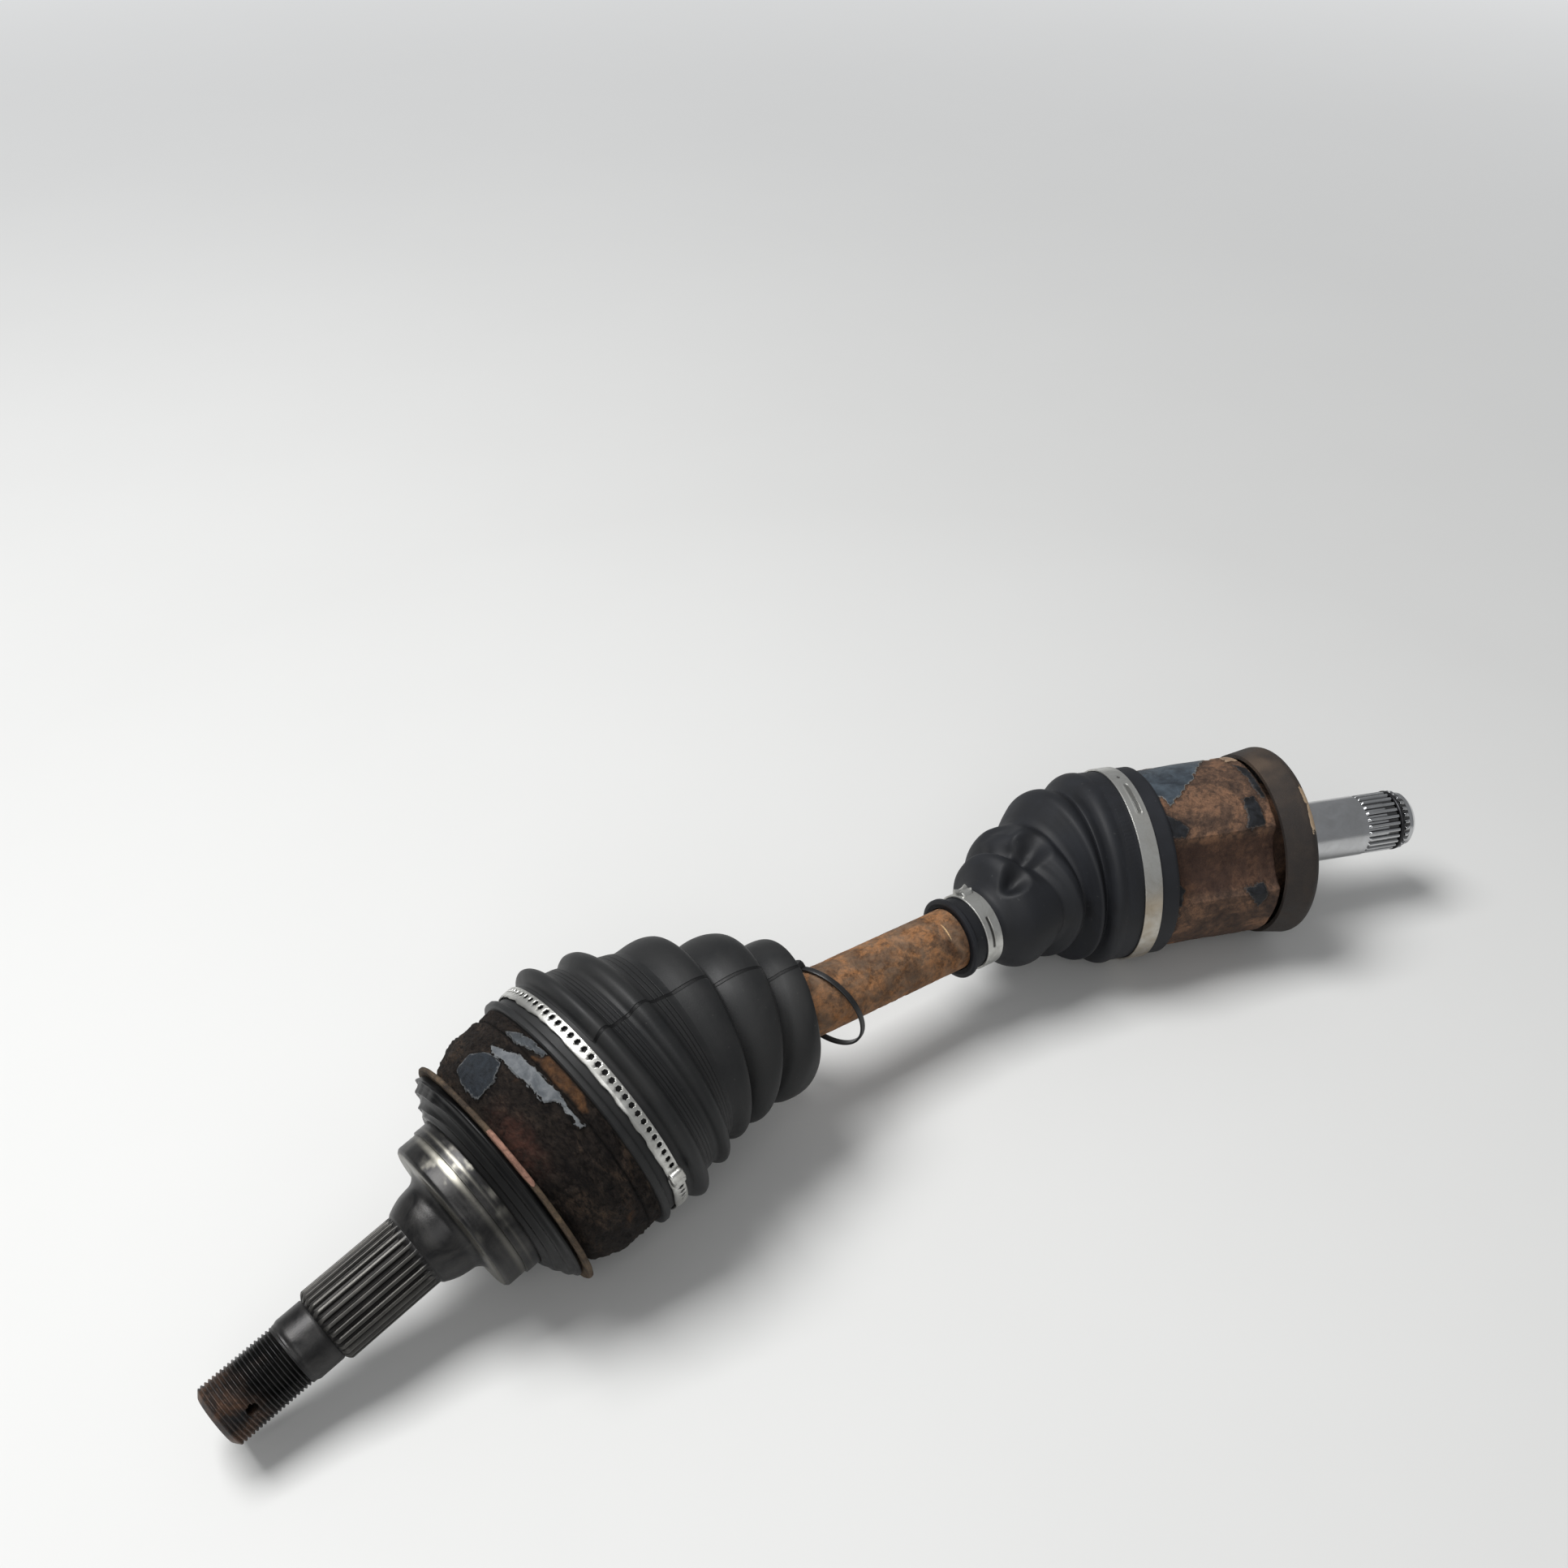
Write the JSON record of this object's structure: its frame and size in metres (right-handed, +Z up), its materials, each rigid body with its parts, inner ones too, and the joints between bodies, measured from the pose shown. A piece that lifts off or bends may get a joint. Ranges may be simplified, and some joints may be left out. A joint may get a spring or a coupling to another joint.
{
  "type": "axle shaft",
  "caption": "Used drive axle shaft: threaded stub with a booted ball joint at the wheel end, booted tripod joint with a splined stub at the gearbox end, joints bent as it lies.",
  "frame": {"origin": "centre of the footprint on the floor", "axes": "+X along the shaft from the wheel end to the gearbox end, +Z up"},
  "size_m": [0.5656, 0.1236, 0.1121],
  "materials": {
    "rusty_forging": "rough rust",
    "dark_steel": "oiled",
    "rusty_bar": "rough rust",
    "rusty_sheet": "matte rust",
    "dark_sheet": "matte",
    "rubber": "matte",
    "band_steel": "satin",
    "bearing_steel": "polished",
    "spring_steel": "satin",
    "black_plastic": "satin"
  },
  "bodies": {
    "shaft": {"shaft": "rusty_bar", "outer_inner_race": "bearing_steel", "outer_circlip": "spring_steel", "inner_spider": "bearing_steel", "inner_ring_2": "bearing_steel", "inner_ring_3": "bearing_steel", "inner_roller_2": "bearing_steel", "inner_roller_3": "bearing_steel", "inner_circlip": "spring_steel", "boot_tie": "black_plastic", "inner_boot_small_band": "band_steel"},
    "guide_ball_1": {"outer_ball_1": "bearing_steel"},
    "cage": {"outer_cage": "bearing_steel", "outer_ball_2": "bearing_steel", "outer_ball_3": "bearing_steel", "outer_ball_5": "bearing_steel", "outer_ball_6": "bearing_steel"},
    "guide_ball_4": {"outer_ball_4": "bearing_steel"},
    "bell": {"outer_stub_axle": "dark_steel", "outer_joint_bell": "rusty_forging", "outer_dust_flange": "rusty_sheet", "outer_seal_ring": "rubber", "outer_boot": "rubber", "outer_boot_band": "band_steel"},
    "ring_1": {"inner_ring_1": "bearing_steel"},
    "roller_1": {"inner_roller_1": "bearing_steel"},
    "housing": {"inner_joint_housing": "rusty_forging", "inner_dust_cover": "dark_sheet", "stub_circlip": "spring_steel", "inner_boot": "rubber", "inner_boot_large_band": "band_steel"}
  },
  "joints": [
    {"name": "outer_swing_1", "type": "hinge", "parent": "shaft", "child": "guide_ball_1", "pos_m": [-0.13158, 0.00571, 0.05515], "axis": [-0.0904, -0.0062, 0.9959], "range_deg": [-15, 7], "deforming": ["outer_boot"]},
    {"name": "outer_nod_1", "type": "hinge", "parent": "guide_ball_1", "child": "cage", "pos_m": [-0.13158, 0.00571, 0.05515], "axis": [-0.0689, 0.9976, 0], "range_deg": [-2, 16.5], "deforming": ["outer_boot"]},
    {"name": "outer_nod_2", "type": "hinge", "parent": "cage", "child": "guide_ball_4", "pos_m": [-0.13158, 0.00571, 0.05515], "axis": [-0.0689, 0.9976, 0], "range_deg": [-2, 16.5], "deforming": ["outer_boot"]},
    {"name": "outer_swing_2", "type": "hinge", "parent": "guide_ball_4", "child": "bell", "pos_m": [-0.13158, 0.00571, 0.05515], "axis": [-0.0904, -0.0062, 0.9959], "range_deg": [-15, 7], "deforming": ["outer_boot"]},
    {"name": "inner_swing", "type": "hinge", "parent": "shaft", "child": "ring_1", "pos_m": [0.14267, 0.00571, 0.04347], "axis": [0.0426, -0.0062, 0.9991], "range_deg": [-0.5, 42.5], "deforming": ["inner_boot"]},
    {"name": "inner_nod", "type": "hinge", "parent": "ring_1", "child": "roller_1", "pos_m": [0.14361, 0.00557, 0.06545], "axis": [0.3583, 0.9336, -0.0095], "range_deg": [-5, 9], "deforming": ["inner_boot"]},
    {"name": "inner_plunge", "type": "slide", "parent": "roller_1", "child": "housing", "axis": [-0.9336, 0.3584, 0.0055], "range_m": [0, 0.02], "deforming": ["inner_boot"]}
  ],
  "couplings": [
    {"joint": "outer_nod_2", "follows": "outer_nod_1", "ratio": 1},
    {"joint": "outer_swing_1", "follows": "outer_swing_2", "ratio": 1}
  ]
}
